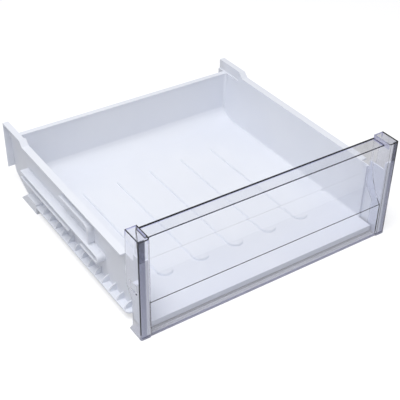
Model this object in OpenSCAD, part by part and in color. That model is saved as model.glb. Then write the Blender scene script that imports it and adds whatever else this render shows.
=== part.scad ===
// Freezer drawer: an opaque white moulded tub with a clear moulded front snapped onto it.
// X runs across the front (the drawer is symmetric about X = 0), Y runs from the front to
// the back, Z is up. The drawer stands on Z = 0, and the origin is under its middle. The
// modules below count Y from the face of the front, and place() moves them back.

/* [Overall] */
// Width over the two end columns of the clear front
front_w = 450; // [440:1:460]
// Height of the end columns of the clear front
front_h = 172; // [170:1:178]
// Depth from the face of the front to the rear edge of the tub's side walls
depth = 446; // [440:1:470]

/* [Tub] */
// Wall thickness of the tub
wall = 2.5; // [2.2:0.1:2.8]
// Outer face of a side wall at the bottom, measured from the middle
side_x = 208; // [207.6:0.1:208.2]
// How far a side wall leans out between the bottom and the rim
side_draft = 3.5; // [2.5:0.1:4]
// Top of the side rims
rim_z = 112.5; // [110:0.5:114]
// Width from the middle to the outer edge of the rims and the bottom flanges
rim_x = 221.3; // [219:0.1:222]
// Thickness of rims, rails and other thin flanges
flange_t = 2.3; // [2:0.1:2.6]
// Top of the raised rear ends of the side walls
ear_z = 120.7; // [118:0.1:123]
// Upper face of the floor
floor_z = 14.5; // [14:0.1:15]
// Inner face of the back wall
back_y = 422; // [420:1:424]
// Top of the back wall
back_z = 103.2; // [101:0.1:104]

/* [Floor ribs] */
// Number of raised ribs on the floor
rib_count = 5; // [3:1:5]
// Width of a raised rib
rib_w = 26; // [22:1:30]
// Distance between ribs
rib_pitch = 64; // [60:0.1:70]
// Height of a rib over the floor
rib_h = 2.4; // [1.5:0.1:3]
// Front end of the ribs
rib_y0 = 84; // [80:1:90]
// Rear end of the ribs
rib_y1 = 342; // [330:1:350]

/* [Runners] */
// Upper face of the main runner channel
rail_z = 62.5; // [61:0.5:64]
// Outer height of the main runner channel
rail_h = 14.4; // [13:0.2:15]
// Distance from the middle to the outer edge of the main runner
rail_x = 224; // [222:0.2:224.6]
// Front end of the main runner
rail_y0 = 122.5; // [120:0.5:126]
// Rear end of the main runner
rail_y1 = 386; // [380:1:388]
// Upper face of the short stop rib above the runner
stop_z = 96; // [94:0.5:97]

/* [Bottom flange] */
// Number of gussets along a bottom flange
gusset_count = 13; // [10:1:13]
// Distance between gussets
gusset_pitch = 21.9; // [20:0.1:22]
// Radius of a gusset
gusset_r = 12; // [10:0.5:13]

/* [Clear front] */
// Thickness of the clear wall
clear_t = 2.5; // [2.2:0.1:2.8]
// Width of an end column
column_w = 18; // [17.6:0.1:18.4]
// Radius of the hollow curve of the grip recess
recess_r = 120; // [118:1:124]
// Height where the upright lower face meets the grip recess
crease_z = 61.5; // [61:0.1:62]
// Upper face of the top lip
lip_z = 166; // [165:0.1:167]
// Front edge of the top lip
lip_y = 11; // [10:0.5:13]

/* [Hidden] */
$fn = 48;
col_x = front_w / 2;               // outer face of a column
col_in = col_x - column_w;         // inner face of a column
ext_x = col_in + 1.8 + 0.5;        // inner face of the tub's forward strip, inside the column

// Outer face of a side wall at height z
function side_at(z) = side_x + side_draft * z / rim_z;

// 2-D (Y, Z) profile drawn out along X
module along_x(x0, x1) {
    translate([x0, 0, 0]) rotate([90, 0, 90]) linear_extrude(x1 - x0) children();
}
// 2-D (X, Z) profile drawn out along Y
module along_y(y0, y1) {
    translate([0, y1, 0]) rotate([90, 0, 0]) linear_extrude(y1 - y0) children();
}
// The same thing on the left and on the right
module both() {
    children();
    mirror([1, 0, 0]) children();
}

// Moves the origin from the face of the front to the middle of the depth
module place() {
    translate([0, -depth / 2, 0]) children();
}

// ---------------------------------------------------------------- tub

// Right-hand side wall: a drafted plate cut to its side outline
module side_plate() {
    intersection() {
        along_y(40, depth)
            polygon([[side_x - wall, 0], [side_x, 0], [side_at(130), 130], [side_at(130) - wall, 130]]);
        along_x(190, 230)
            polygon([[40, floor_z - wall], [341, floor_z - wall], [341, 0], [403, 0], [430, 13.5],
                     [443.5, 23.5], [depth, 35], [depth, ear_z - 0.5], [381.7, ear_z - 0.5], [372.7, rim_z - 0.5], [40, rim_z - 0.5]]);
    }
}

// Out-turned rim along the top of the side wall, up over the raised end and down its rear edge
module rim() {
    t = flange_t;
    along_x(210, rim_x)
        polygon([[57, rim_z], [372.5, rim_z], [381.5, ear_z], [depth, ear_z], [depth, 36.5],
                 [depth - t, 36.5], [depth - t, ear_z - t], [382.4, ear_z - t], [373.4, rim_z - t], [57, rim_z - t]]);
    // the part of the rim that lies over the plate itself
    along_x(side_at(rim_z) - wall, 211)
        polygon([[42, rim_z], [372.5, rim_z], [381.5, ear_z], [depth, ear_z],
                 [depth, ear_z - t], [382.4, ear_z - t], [373.4, rim_z - t], [42, rim_z - t]]);
}

// Forward strip of the side wall that slides into the hollow column, with its front flange
module forward_strip() {
    along_x(ext_x, ext_x + 2.1)
        polygon([[3, 4], [42.3, 4], [42.3, rim_z - 0.8], [36, rim_z - 0.8], [36, 124], [3, 124]]);
    translate([ext_x, 3, 4]) cube([rim_x - ext_x, 2.2, 133]);
    // cross piece that joins the strip to the drafted wall
    translate([side_x - wall, 40, floor_z - wall]) cube([ext_x + 1.8 - side_x + wall, 2.5, rim_z - floor_z + wall - 0.3]);
    // snap hook behind the window of the column
    translate([0, 0, 84]) linear_extrude(4)
        polygon([[ext_x + 1, 9], [rim_x + 0.6, 22], [rim_x + 0.6, 24.5], [ext_x + 1, 24.5]]);
}

// Runner channel, open outwards, closed by a round nose at the front, with a gap in its lower leg
module runner() {
    r = rail_h / 2;
    zc = rail_z - r;
    difference() {
        along_x(side_x - 0.5, rail_x)
            difference() {
                union() {
                    translate([rail_y0 + r, rail_z - rail_h]) square([rail_y1 - rail_y0 - r, rail_h]);
                    translate([rail_y0 + r, zc]) circle(r);
                }
                translate([rail_y0 + r, rail_z - rail_h + flange_t]) square([rail_y1, rail_h - 2 * flange_t]);
                translate([rail_y0 + r, zc]) circle(r - flange_t);
            }
        translate([side_at(rail_z) + 0.8, 178, rail_z - rail_h - 1]) cube([30, 38, flange_t + 2]);
    }
}

// Short shelf over the runner whose front end turns down towards it
module stop_rib() {
    r = 12;
    t = 2.2;
    along_x(side_x + 1, rim_x) {
        translate([154 + r, stop_z - t]) square([245 - 154 - r, t]);
        intersection() {
            translate([154 + r, stop_z - r]) difference() { circle(r); circle(r - t); }
            translate([153, stop_z - r]) square([r + 1, r + 1]);
        }
        translate([154, 66.3]) square([t, stop_z - r - 66.3]);
    }
}

// Bottom flange with a row of quarter-round gussets
module bottom_flange() {
    linear_r = 8;
    translate([0, 0, floor_z - 1.8]) linear_extrude(flange_t) difference() {
        union() {
            translate([side_x - wall, 44 + linear_r]) square([rim_x - side_x + wall, 342 - 44 - linear_r]);
            translate([side_x - wall, 44]) square([rim_x - side_x + wall - linear_r, linear_r + 1]);
            translate([rim_x - linear_r, 44 + linear_r]) circle(linear_r);
        }
    }
    for (k = [0 : gusset_count - 1])
        translate([side_x + 0.2, 53 + gusset_pitch * k + 2, floor_z]) rotate([90, 0, 0]) linear_extrude(2)
            intersection() {
                circle(gusset_r);
                translate([-1, -1]) square(gusset_r + 2);
            }
}

// Rear foot: a thin box under the side wall, open below
module rear_foot() {
    difference() {
        along_x(side_x - wall, rim_x) polygon([[341, 0], [399, 0], [375, 19.6], [341, 19.6]]);
        along_x(side_x, rim_x - flange_t) polygon([[343.2, -1], [397.5, -1], [373.8, 17.4], [343.2, 17.4]]);
    }
}

module floor_plate() {
    t = wall;
    // flat floor, narrower between the columns
    translate([-side_x + wall, 40, floor_z - t]) cube([2 * (side_x - wall), 343.5, t]);
    translate([-col_in + 1.2, 14, floor_z - t]) cube([2 * (col_in - 1.2), 30, t]);
    // down-turned front edge
    translate([-col_in + 1.2, 14, 5]) cube([2 * (col_in - 1.2), 2.2, floor_z - 5]);
    // floor swept up into the back wall, and the back wall itself
    along_x(-side_x + 0.2, side_x - 0.2)
        polygon([[382, floor_z - t], [394, floor_z - t + 0.8], [408, floor_z - t + 3.4], [418, floor_z - t + 8],
                 [423.6, floor_z - t + 14.4], [back_y + wall, 33], [back_y + wall, back_z - 1], [back_y, back_z - 1],
                 [back_y, 35], [420.6, floor_z + 15], [416, floor_z + 9.2], [407, floor_z + 3.8], [394, floor_z + 0.9], [382, floor_z]]);
    // lip of the back wall
    translate([-side_x - 1, back_y - 0.5, back_z - flange_t]) cube([2 * side_x + 2, 9.5, flange_t]);
}

// Raised rib with round ends and a rounded shoulder
module floor_rib(x) {
    r = rib_w / 2;
    for (s = [[0, rib_h * 0.55], [0.9, rib_h * 0.85], [2, rib_h]])
        translate([x, 0, floor_z - 0.5]) linear_extrude(s[1] + 0.5) {
            translate([0, rib_y0 + r]) circle(r - s[0]);
            translate([0, rib_y1 - r]) circle(r - s[0]);
            translate([-r + s[0], rib_y0 + r]) square([2 * (r - s[0]), rib_y1 - rib_y0 - 2 * r]);
        }
}

// Hollow quarter-round that fills the corner between the back wall and a side wall
module corner_fillet() {
    r = 6;
    x = side_at(60) - wall + 0.6;
    translate([0, 0, 34]) linear_extrude(back_z - 34 - 0.5) difference() {
        translate([x - r, back_y - r]) square([r, r + 0.5]);
        translate([x - r, back_y - r]) circle(r);
    }
}

// Hollow quarter-round between floor and side wall
module floor_fillet() {
    r = 4;
    x = side_at(floor_z) - wall;
    along_y(42, 384) difference() {
        translate([x - r, floor_z - 0.5]) square([r + 0.6, r + 0.5]);
        translate([x - r, floor_z + r]) circle(r);
    }
}

module tub() {
    color([0.91, 0.92, 0.96]) place() {
        difference() {
            both() {
                side_plate();
                rim();
            }
            // the raised rear ends are set out a little on the inside
            both() translate([200, 383, back_z + 0.2]) cube([11.2, 80, 40]);
        }
        both() {
            // backing of the set-out rear ends
            along_x(211.2, 213.7)
                polygon([[380, back_z - 8], [depth, back_z - 8], [depth, ear_z], [381.5, ear_z], [380, ear_z - 1.4]]);
            forward_strip();
            runner();
            stop_rib();
            bottom_flange();
            rear_foot();
            corner_fillet();
            floor_fillet();
        }
        floor_plate();
        for (k = [0 : rib_count - 1])
            floor_rib((k - (rib_count - 1) / 2) * rib_pitch);
    }
}

// ---------------------------------------------------------------- clear front

// Centre of the hollow curve, in front of and above the crease
crease_y = 1.5;
rec_y = 26.4;
rec_z = crease_z + 53.1;
ch = sqrt(pow(rec_y - crease_y, 2) + pow(rec_z - crease_z, 2));
hh = sqrt(recess_r * recess_r - ch * ch / 4);
cy = (crease_y + rec_y) / 2 - hh * (rec_z - crease_z) / ch;
cz = (crease_z + rec_z) / 2 + hh * (rec_y - crease_y) / ch;
top_y = 33.6;

module front_profile() {
    t = clear_t;
    // upright lower face
    polygon([[crease_y, 0], [crease_y + t, 0], [crease_y + t, crease_z - 0.6], [crease_y, crease_z]]);
    // hollow curve of the grip recess
    intersection() {
        translate([cy, cz]) difference() { circle(recess_r + t, $fn = 180); circle(recess_r, $fn = 180); }
        polygon([[cy, cz], [cy + 1.5 * (crease_y - cy), cz + 1.5 * (crease_z - cz)],
                 [cy + 1.5 * (rec_y - cy) + 20, cz + 1.5 * (crease_z - cz)], [cy + 1.5 * (rec_y - cy), cz + 1.5 * (rec_z - cz)]]);
    }
    // upper part up to the lip
    polygon([[rec_y, rec_z], [rec_y + t - 0.1, rec_z - 0.5], [top_y + t, lip_z - 0.4], [top_y + t - 0.4, lip_z], [top_y, lip_z - 1]]);
    // lip with a round front edge
    translate([lip_y + 1.25, lip_z - t]) square([top_y + 1.6 - lip_y - 1.25, t]);
    translate([lip_y + 1.25, lip_z - t / 2]) circle(t / 2);
    // ledge under the tub and its two low ribs
    translate([crease_y, 0]) square([20 - crease_y, 2.2]);
    for (y = [7, 12.5]) translate([y, 1]) square([1.2, 3]);
}

// Side outline of a column
module column_side() {
    polygon([[0, 0], [32, 0], [22.6, 13.5], [21, 59], [24.4, 63.5], [36.7, 79], [36.5, 119], [34.6, front_h], [0, front_h]]);
}

// Plan of a column with rounded front corners
module column_plan() {
    ro = 2.5;
    ri = 4;
    translate([col_x - ro, ro]) circle(ro);
    translate([col_in + ri, ri]) circle(ri);
    translate([col_in + ri, 0]) square([column_w - ro - ri, 40]);
    translate([col_in, ri]) square([column_w, 40]);
    translate([col_x - ro - 1, ro]) square([ro + 1, 10]);
}

// Right-hand column: hollow, open at the back
module column() {
    difference() {
        intersection() {
            linear_extrude(front_h) column_plan();
            along_x(col_in - 1, col_x + 1) column_side();
        }
        difference() {
            translate([col_in + 1.8, 2.2, 2.2]) cube([column_w - 3.8, 60, front_h - 4.4]);
            // keeps the wall thick behind the round inner corner
            translate([col_in + 1.8, 2.2, 0]) linear_extrude(front_h)
                difference() {
                    translate([-1, -1]) square(3);
                    translate([2, 2]) circle(2);
                }
        }
        // window for the snap hook of the tub
        translate([col_x - 4, 8, 78]) cube([8, 19, 15]);
    }
}

module front_panel() {
    color([0.86, 0.87, 0.94, 0.45]) place() {
        along_x(-col_in - 1, col_in + 1) front_profile();
        both() column();
    }
}

tub();
front_panel();
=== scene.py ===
import bpy, math
from mathutils import Matrix, Vector

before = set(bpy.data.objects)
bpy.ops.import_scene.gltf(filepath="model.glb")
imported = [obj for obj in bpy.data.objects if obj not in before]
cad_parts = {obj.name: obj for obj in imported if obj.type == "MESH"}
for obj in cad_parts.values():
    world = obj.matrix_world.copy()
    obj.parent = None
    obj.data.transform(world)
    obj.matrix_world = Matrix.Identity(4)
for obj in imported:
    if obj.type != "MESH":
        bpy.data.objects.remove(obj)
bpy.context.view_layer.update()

scene = bpy.context.scene
scene.view_settings.view_transform = "Standard"
scene.view_settings.look = "None"
scene.view_settings.exposure = 0.0
scene.view_settings.gamma = 1.0

# ------------------------------------------------------------------ camera
AZ, EL, ROLL = math.radians(-34.30966), math.radians(35.910717), math.radians(1.0798343)
cam_data = bpy.data.cameras.new("camera")
cam = bpy.data.objects.new("camera", cam_data)
scene.collection.objects.link(cam)
back = Vector((math.sin(AZ) * math.cos(EL), -math.cos(AZ) * math.cos(EL), math.sin(EL)))
right = Vector((math.cos(AZ), math.sin(AZ), 0.0))
up = back.cross(right)
c, s = math.cos(ROLL), math.sin(ROLL)
r2 = c * right + s * up
u2 = -s * right + c * up
cam.matrix_world = Matrix((
    (r2.x, u2.x, back.x, -0.64199),
    (r2.y, u2.y, back.y, -0.74706 - 0.223),
    (r2.z, u2.z, back.z, 0.85830),
    (0, 0, 0, 1)))
cam_data.sensor_fit = "HORIZONTAL"
cam_data.sensor_width = 36.0
cam_data.lens = 36.0 * 871.46893 / 400.0
cam_data.clip_start = 0.01
cam_data.clip_end = 100.0
scene.camera = cam


# ------------------------------------------------------------------ node helpers
def tree_of(mat):
    mat.use_nodes = True
    nt = mat.node_tree
    nt.nodes.clear()
    return nt


def add(nt, kind, inputs=None, **values):
    n = nt.nodes.new(kind)
    for k, v in values.items():
        setattr(n, k, v)
    for k, v in (inputs or {}).items():
        n.inputs[k].default_value = v
    return n


def noise(nt, coord, scale, detail=2.0, rough=0.5):
    n = add(nt, "ShaderNodeTexNoise", {"Scale": scale, "Detail": detail, "Roughness": rough})
    nt.links.new(coord, n.inputs["Vector"])
    return n.outputs["Fac"]


def remap(nt, value, lo, hi, from_lo=0.0, from_hi=1.0):
    n = add(nt, "ShaderNodeMapRange", {"From Min": from_lo, "From Max": from_hi, "To Min": lo, "To Max": hi})
    nt.links.new(value, n.inputs["Value"])
    return n.outputs["Result"]


# ------------------------------------------------------------------ materials
CLEAR_A, CLEAR_B = (0.972, 0.976, 0.990, 1), (0.982, 0.985, 0.995, 1)
FLOOR_SEEN, FLOOR_BACK = 0.52, 0.06
COLUMN = (0.935, 0.940, 0.975, 1)
# painted shade for the lip's rear edge and ends
LIP_EDGE_PAINTED_SHADE = (0.60, 0.605, 0.84, 1)
# painted shade for the bottom edge of the face
BOTTOM_EDGE_PAINTED_SHADE = (0.46, 0.465, 0.60, 1)


def white_plastic():
    """Opaque white moulded plastic with a faint blue cast, satin, slightly uneven from moulding."""
    m = bpy.data.materials.new("white_moulded_plastic")
    nt = tree_of(m)
    coord = add(nt, "ShaderNodeTexCoord").outputs["Object"]
    broad = noise(nt, coord, 9.0, 3.0)
    fine = noise(nt, coord, 420.0, 2.0)
    ramp = add(nt, "ShaderNodeValToRGB")
    ramp.color_ramp.elements[0].position = 0.35
    ramp.color_ramp.elements[0].color = (0.765, 0.790, 0.858, 1)
    ramp.color_ramp.elements[1].position = 0.68
    ramp.color_ramp.elements[1].color = (0.790, 0.812, 0.870, 1)
    nt.links.new(broad, ramp.inputs["Fac"])
    b = add(nt, "ShaderNodeBsdfPrincipled", {"IOR": 1.50})
    nt.links.new(ramp.outputs["Color"], b.inputs["Base Color"])
    nt.links.new(remap(nt, broad, 0.34, 0.46, 0.3, 0.7), b.inputs["Roughness"])
    bump = add(nt, "ShaderNodeBump", {"Strength": 0.10, "Distance": 0.0002})
    nt.links.new(fine, bump.inputs["Height"])
    nt.links.new(bump.outputs["Normal"], b.inputs["Normal"])
    out = add(nt, "ShaderNodeOutputMaterial")
    nt.links.new(b.outputs[0], out.inputs["Surface"])
    return m


def step(nt, value, lo, hi):
    """0 below lo, 1 above hi, smooth between; swapped limits turn it round."""
    n = add(nt, "ShaderNodeMapRange", {"From Min": min(lo, hi), "From Max": max(lo, hi),
                                       "To Min": 0.0 if lo < hi else 1.0, "To Max": 1.0 if lo < hi else 0.0},
            interpolation_type="SMOOTHSTEP")
    nt.links.new(value, n.inputs["Value"])
    return n.outputs["Result"]


def times(nt, *values):
    out = values[0]
    for v in values[1:]:
        n = add(nt, "ShaderNodeMath", operation="MULTIPLY")
        nt.links.new(out, n.inputs[0])
        nt.links.new(v, n.inputs[1])
        out = n.outputs[0]
    return out


def blend_colour(nt, fac, a, b):
    n = add(nt, "ShaderNodeMix", data_type="RGBA")
    nt.links.new(fac, n.inputs["Factor"])
    for socket, v in ((n.inputs[6], a), (n.inputs[7], b)):
        if isinstance(v, tuple):
            socket.default_value = v
        else:
            nt.links.new(v, socket)
    return n.outputs[2]


def clear_plastic():
    """Clear moulded plastic with a faint lavender tint, a little stronger in the columns, with painted shade in dark
    strips down the columns' fronts, along the lip's rear edge and ends, and along the bottom edge of the face.
    """
    m = bpy.data.materials.new("clear_lavender_plastic")
    nt = tree_of(m)
    coord = add(nt, "ShaderNodeTexCoord").outputs["Object"]
    xyz = add(nt, "ShaderNodeSeparateXYZ")
    nt.links.new(coord, xyz.inputs[0])
    ax = add(nt, "ShaderNodeMath", operation="ABSOLUTE")
    nt.links.new(xyz.outputs["X"], ax.inputs[0])
    x, y, z = ax.outputs[0], xyz.outputs["Y"], xyz.outputs["Z"]
    wave = noise(nt, coord, 22.0, 2.0)
    haze = noise(nt, coord, 60.0, 3.0)
    base = blend_colour(nt, remap(nt, haze, 0.0, 1.0, 0.35, 0.65), CLEAR_A, CLEAR_B)
    # columns: a slightly stronger tint, and painted shade: a dark strip down the outer half of each column's front,
    # darker towards the top, standing in for the shade and dark reflections seen in the thick column
    base = blend_colour(nt, step(nt, x, 0.2066, 0.2074), base, COLUMN)
    # painted shade colours for the column fronts, darker with height
    column_front_painted_shade = add(nt, "ShaderNodeValToRGB")
    r = column_front_painted_shade.color_ramp
    r.elements[0].position, r.elements[0].color = 0.02, (0.64, 0.645, 0.74, 1)
    r.elements[1].position, r.elements[1].color = 0.985, (0.16, 0.165, 0.21, 1)
    for at, col in ((0.45, (0.53, 0.535, 0.63, 1)), (0.790, (0.44, 0.445, 0.55, 1)), (0.806, (0.16, 0.165, 0.22, 1))):
        r.elements.new(at).color = col
    nt.links.new(remap(nt, z, 0.0, 1.0, 0.0, 0.172), column_front_painted_shade.inputs["Fac"])
    base = blend_colour(nt, times(nt, step(nt, x, 0.2146, 0.2158), step(nt, y, -0.2195, -0.2203)), base, column_front_painted_shade.outputs["Color"])
    # painted shade: dark lines along the lip's rear edge and ends, and along the bottom edge of the face
    base = blend_colour(nt, times(nt, step(nt, z, 0.1622, 0.1630), step(nt, y, -0.1915, -0.1900)), base, LIP_EDGE_PAINTED_SHADE)
    base = blend_colour(nt, times(nt, step(nt, z, 0.1622, 0.1630), step(nt, x, 0.2035, 0.2045), step(nt, x, 0.2082, 0.2076)), base, LIP_EDGE_PAINTED_SHADE)
    # painted shade along the bottom edge of the face
    base = blend_colour(nt, times(nt, step(nt, z, 0.0050, 0.0040), step(nt, y, -0.2180, -0.2192)), base, BOTTOM_EDGE_PAINTED_SHADE)
    b = add(nt, "ShaderNodeBsdfPrincipled", {"IOR": 1.50, "Transmission Weight": 1.0})
    nt.links.new(base, b.inputs["Base Color"])
    nt.links.new(remap(nt, haze, 0.015, 0.05, 0.3, 0.7), b.inputs["Roughness"])
    bump = add(nt, "ShaderNodeBump", {"Strength": 0.10, "Distance": 0.0005})
    nt.links.new(wave, bump.inputs["Height"])
    nt.links.new(bump.outputs["Normal"], b.inputs["Normal"])
    # lamps and the light scattered by the white tub pass straight through
    clear = add(nt, "ShaderNodeBsdfTransparent", {"Color": (0.965, 0.968, 0.985, 1)})
    path = add(nt, "ShaderNodeLightPath")
    either = add(nt, "ShaderNodeMath", operation="MAXIMUM")
    nt.links.new(path.outputs["Is Shadow Ray"], either.inputs[0])
    nt.links.new(path.outputs["Is Diffuse Ray"], either.inputs[1])
    mix = add(nt, "ShaderNodeMixShader")
    nt.links.new(either.outputs[0], mix.inputs["Fac"])
    nt.links.new(b.outputs[0], mix.inputs[1])
    nt.links.new(clear.outputs[0], mix.inputs[2])
    vol = add(nt, "ShaderNodeVolumeAbsorption", {"Color": (0.78, 0.79, 0.90, 1), "Density": 14.0})
    out = add(nt, "ShaderNodeOutputMaterial")
    nt.links.new(mix.outputs[0], out.inputs["Surface"])
    nt.links.new(vol.outputs[0], out.inputs["Volume"])
    return m


def pale_floor():
    """Plain white table. It is lit evenly from below as well, so that it stays white in the frame."""
    m = bpy.data.materials.new("pale_floor")
    nt = tree_of(m)
    b = add(nt, "ShaderNodeBsdfPrincipled", {"Base Color": (0.55, 0.55, 0.56, 1), "Roughness": 0.95,
                                             "Specular IOR Level": 0.1})
    glow = add(nt, "ShaderNodeEmission", {"Color": (1, 1, 1, 1)})
    path = add(nt, "ShaderNodeLightPath")
    nt.links.new(remap(nt, path.outputs["Is Camera Ray"], FLOOR_BACK, FLOOR_SEEN), glow.inputs["Strength"])
    both = add(nt, "ShaderNodeAddShader")
    nt.links.new(b.outputs[0], both.inputs[0])
    nt.links.new(glow.outputs[0], both.inputs[1])
    out = add(nt, "ShaderNodeOutputMaterial")
    nt.links.new(both.outputs[0], out.inputs["Surface"])
    return m


# ------------------------------------------------------------------ the two mouldings
def soften(obj, width, segments, limit):
    """Rounds the edges of a CAD mesh: joins its triangles, bevels, and weights the normals."""
    for p in obj.data.polygons:
        p.use_smooth = True
    w = obj.modifiers.new("weld", "WELD")
    w.merge_threshold = 0.00002
    d = obj.modifiers.new("join", "DECIMATE")
    d.decimate_type = "DISSOLVE"
    d.angle_limit = math.radians(0.6)
    b = obj.modifiers.new("bevel", "BEVEL")
    b.width = width
    b.segments = segments
    b.limit_method = "ANGLE"
    b.angle_limit = math.radians(limit)
    b.use_clamp_overlap = True
    b.miter_outer = "MITER_ARC"
    n = obj.modifiers.new("normals", "WEIGHTED_NORMAL")
    n.mode = "FACE_AREA"
    n.weight = 50
    n.keep_sharp = False


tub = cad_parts["tub"]
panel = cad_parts["front_panel"]
for o, m in ((tub, white_plastic()), (panel, clear_plastic())):
    o.data.materials.clear()
    o.data.materials.append(m)
soften(tub, 0.0005, 2, 25)
soften(panel, 0.0004, 2, 25)

# ------------------------------------------------------------------ stage and light
fl = bpy.data.meshes.new("floor")
fl.from_pydata([(-30, -30, 0), (30, -30, 0), (30, 30, 0), (-30, 30, 0)], [], [(0, 1, 2, 3)])
floor = bpy.data.objects.new("floor", fl)
scene.collection.objects.link(floor)
floor.data.materials.append(pale_floor())

world = bpy.data.worlds.new("world")
scene.world = world
world.use_nodes = True
wt = world.node_tree
wt.nodes.clear()
wc = add(wt, "ShaderNodeTexCoord")
sep = add(wt, "ShaderNodeSeparateXYZ")
wt.links.new(wc.outputs["Generated"], sep.inputs[0])
ramp = add(wt, "ShaderNodeValToRGB")
ramp.color_ramp.elements[0].position = 0.0
ramp.color_ramp.elements[0].color = (0.14, 0.145, 0.175, 1)
ramp.color_ramp.elements[1].position = 0.85
ramp.color_ramp.elements[1].color = (1.0, 1.0, 1.0, 1)
wt.links.new(sep.outputs["Z"], ramp.inputs["Fac"])
bg = add(wt, "ShaderNodeBackground", {"Strength": 0.78})
wt.links.new(ramp.outputs["Color"], bg.inputs["Color"])
# a pale backdrop behind the table; it lights nothing
drop = add(wt, "ShaderNodeBackground", {"Color": (1, 1, 1, 1), "Strength": 1.0})
seen = add(wt, "ShaderNodeLightPath")
which = add(wt, "ShaderNodeMixShader")
wt.links.new(seen.outputs["Is Camera Ray"], which.inputs["Fac"])
wt.links.new(bg.outputs[0], which.inputs[1])
wt.links.new(drop.outputs[0], which.inputs[2])
wo = add(wt, "ShaderNodeOutputWorld")
wt.links.new(which.outputs[0], wo.inputs["Surface"])


def softbox(name, place, aim, size, power, colour=(1, 1, 1)):
    d = bpy.data.lights.new(name, "AREA")
    d.energy = power
    d.size = size
    d.color = colour
    o = bpy.data.objects.new(name, d)
    o.location = place
    o.rotation_euler = (Vector(aim) - Vector(place)).to_track_quat("-Z", "Y").to_euler()
    scene.collection.objects.link(o)
    return o


softbox("key", (-0.8, -0.45, 2.1), (0, 0, 0), 1.2, 28)
